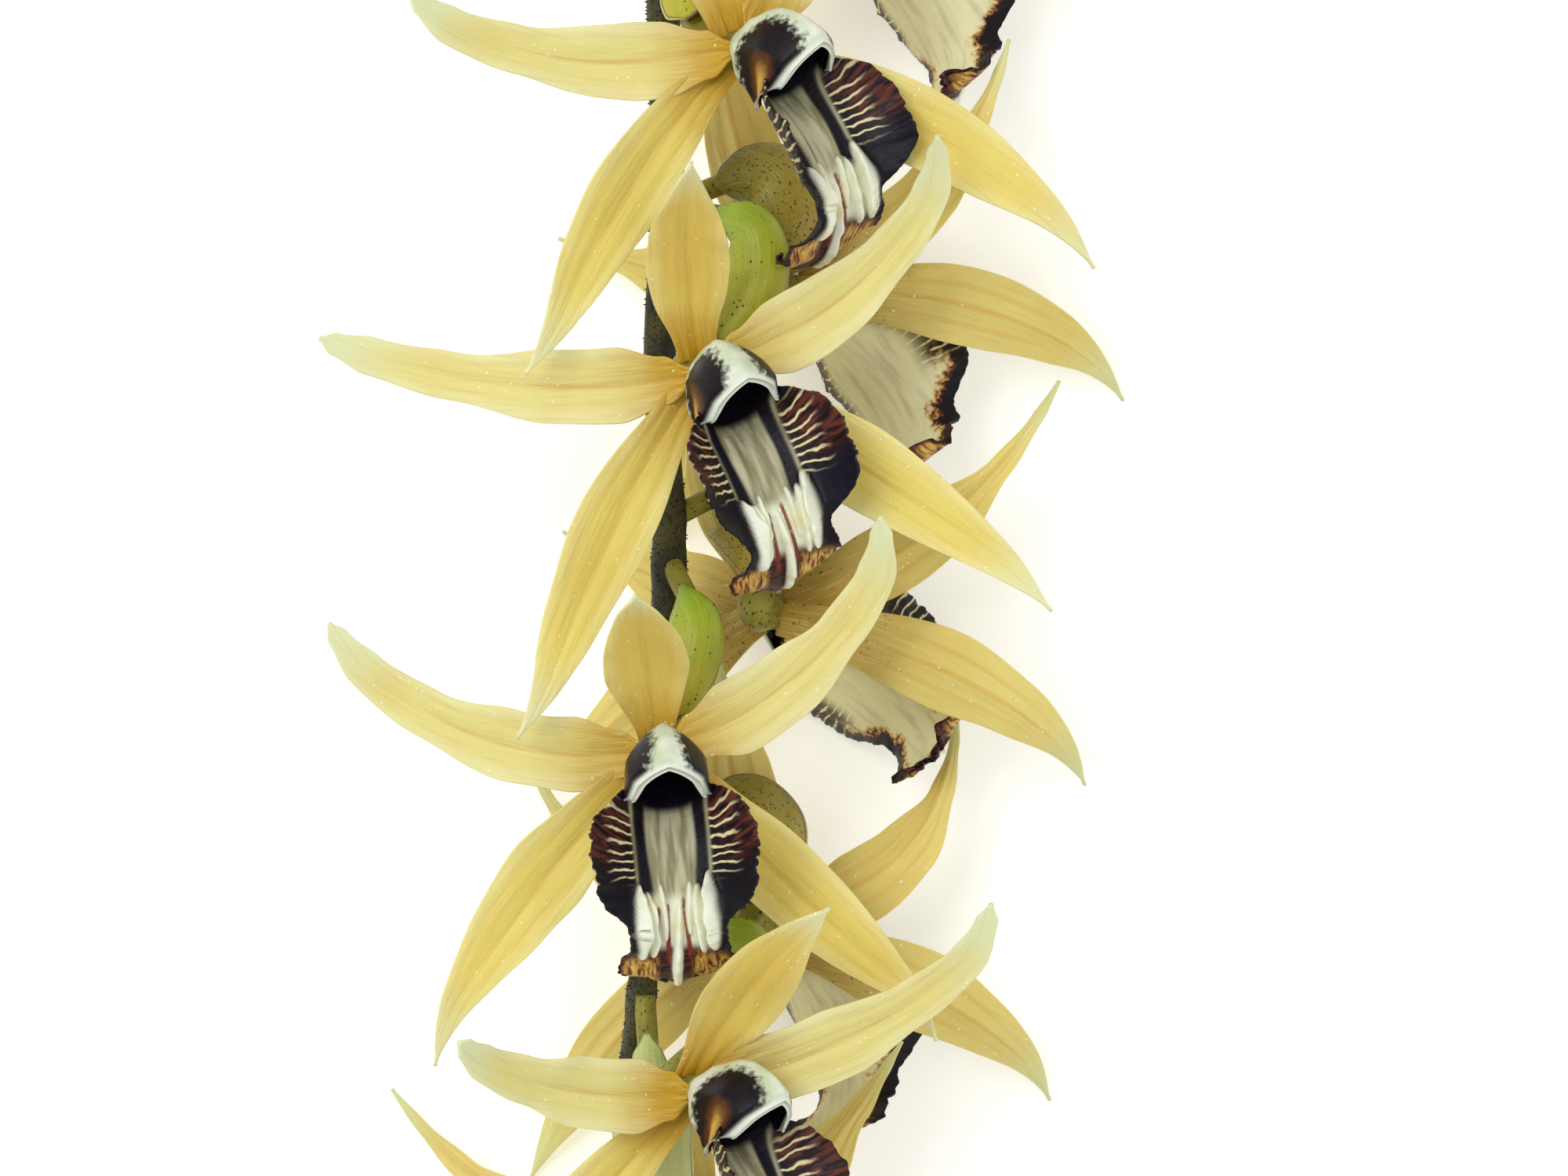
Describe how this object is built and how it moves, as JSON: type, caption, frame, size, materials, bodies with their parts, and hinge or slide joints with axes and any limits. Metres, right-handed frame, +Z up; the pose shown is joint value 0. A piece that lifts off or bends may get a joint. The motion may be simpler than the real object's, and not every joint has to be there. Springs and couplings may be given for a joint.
{
  "type": "orchid flower spike",
  "caption": "Cut hanging orchid flower spike with pale yellow sepals and petals and dark maroon lips, laid flat on a surface as a natural decoration.",
  "frame": {"origin": "middle of the bounding box's underside, on the surface the spike lies on", "axes": "+Y along the stem towards its cut end, +Z up from the surface, +X across the spike"},
  "size_m": [0.0978, 0.2692, 0.0572],
  "materials": {
    "tepal": "soft waxy petal, pale yellow with golden base",
    "lip": "velvety dark maroon petal with cream keels and tan ruffled margin",
    "column": "waxy pale green tissue with dark specks",
    "bract": "satin yellow-green leafy tissue with dark specks",
    "stem": "matte olive stem with dark scurf"
  },
  "bodies": {
    "root": {"f0_flower": "tepal", "f1_bract": "bract", "f1_dorsal_sepal": "tepal", "f1_left_petal": "tepal", "f1_left_sepal": "tepal", "f1_lip": "lip", "f1_ovary_and_column": "column", "f1_right_petal": "tepal", "f1_right_sepal": "tepal", "f2_bract": "bract", "f2_dorsal_sepal": "tepal", "f2_left_petal": "tepal", "f2_left_sepal": "tepal", "f2_lip": "lip", "f2_ovary_and_column": "column", "f2_right_petal": "tepal", "f2_right_sepal": "tepal", "f3_bract": "bract", "f3_dorsal_sepal": "tepal", "f3_left_petal": "tepal", "f3_left_sepal": "tepal", "f3_lip": "lip", "f3_ovary_and_column": "column", "f3_right_petal": "tepal", "f3_right_sepal": "tepal", "f4_bract": "bract", "f4_dorsal_sepal": "tepal", "f4_left_petal": "tepal", "f4_left_sepal": "tepal", "f4_lip": "lip", "f4_ovary_and_column": "column", "f4_right_petal": "tepal", "f4_right_sepal": "tepal", "r0_flower": "tepal", "r1_bract": "bract", "r1_dorsal_sepal": "tepal", "r1_left_petal": "tepal", "r1_left_sepal": "tepal", "r1_lip": "lip", "r1_ovary_and_column": "column", "r1_right_petal": "tepal", "r1_right_sepal": "tepal", "r2_bract": "bract", "r2_dorsal_sepal": "tepal", "r2_left_petal": "tepal", "r2_left_sepal": "tepal", "r2_lip": "lip", "r2_ovary_and_column": "column", "r2_right_petal": "tepal", "r2_right_sepal": "tepal", "r3_bract": "bract", "r3_dorsal_sepal": "tepal", "r3_left_petal": "tepal", "r3_left_sepal": "tepal", "r3_lip": "lip", "r3_ovary_and_column": "column", "r3_right_petal": "tepal", "r3_right_sepal": "tepal", "r4_flower": "tepal", "stem": "stem"}
  },
  "joints": []
}
